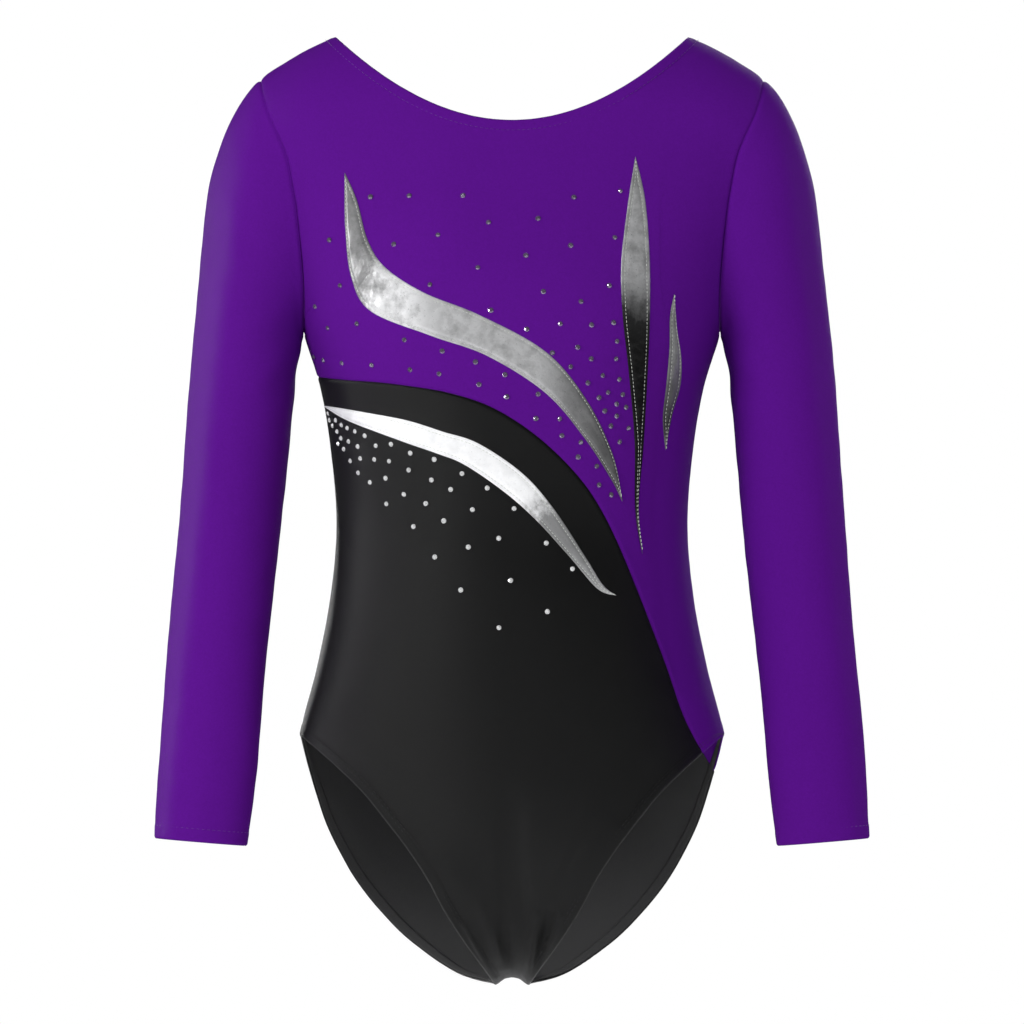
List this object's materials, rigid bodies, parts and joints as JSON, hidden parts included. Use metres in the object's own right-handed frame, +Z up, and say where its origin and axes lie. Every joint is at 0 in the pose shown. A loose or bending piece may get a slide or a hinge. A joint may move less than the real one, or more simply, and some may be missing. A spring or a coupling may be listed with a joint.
{
  "type": "gymnastics leotard",
  "caption": "Long-sleeved gymnastics leotard with a wide boat neckline, a slanting colour change, foil swooshes and leaves, rows of flat-backed stones and high-cut leg openings.",
  "frame": {"origin": "in the middle of the neck opening, level with the tops of the shoulders, on the plane of the side seams", "axes": "+Z up, -Y out of the chest, +X to the wearer's left"},
  "size_m": [0.407, 0.1848, 0.5405],
  "materials": {
    "purple_knit": "smooth stretch knit with a soft sheen",
    "black_knit": "matt stretch knit with a faint sheen",
    "lining_knit": "matt cotton knit",
    "elastic": "woven elastic",
    "seam_thread": "overlocked thread",
    "label_ribbon": "blank satin ribbon",
    "foil": "metallic silver foil on knit",
    "stone": "clear faceted stone with a silvered back"
  },
  "bodies": {
    "torso": {"front_upper_panel": "purple_knit", "front_lower_panel": "black_knit", "back_upper_panel": "purple_knit", "back_lower_panel": "black_knit", "right_sleeve_cap": "purple_knit", "left_sleeve_cap": "purple_knit", "neck_hem": "purple_knit", "neck_elastic": "elastic", "right_leg_hem": "black_knit", "left_leg_hem": "black_knit", "right_leg_elastic": "elastic", "left_leg_elastic": "elastic", "front_slant_seam": "seam_thread", "back_slant_seam": "seam_thread", "right_side_seam": "seam_thread", "left_side_seam": "seam_thread", "right_shoulder_seam": "seam_thread", "left_shoulder_seam": "seam_thread", "right_armhole_seam": "seam_thread", "left_armhole_seam": "seam_thread", "crotch_seam": "seam_thread", "crotch_lining": "lining_knit", "care_label": "label_ribbon", "chest_swoosh": "foil", "waist_swoosh": "foil", "long_leaf": "foil", "small_leaf": "foil", "upper_purple_stones": "stone", "lower_purple_stones": "stone", "black_stones": "stone"},
    "left_arm": {"left_sleeve": "purple_knit", "left_cuff_hem": "purple_knit", "left_sleeve_seam": "seam_thread"},
    "right_arm": {"right_sleeve": "purple_knit", "right_cuff_hem": "purple_knit", "right_sleeve_seam": "seam_thread"}
  },
  "joints": [
    {"name": "left_sleeve_swing", "type": "hinge", "parent": "torso", "child": "left_arm", "pos_m": [0.186, 0, -0.164], "axis": [0, -1, 0], "range_deg": [0, 60], "stiffness_Nm_per_rad": 0.05, "springref_deg": -5.73},
    {"name": "right_sleeve_swing", "type": "hinge", "parent": "torso", "child": "right_arm", "pos_m": [-0.186, 0, -0.164], "axis": [0, 1, 0], "range_deg": [0, 60], "stiffness_Nm_per_rad": 0.05, "springref_deg": -5.73}
  ]
}
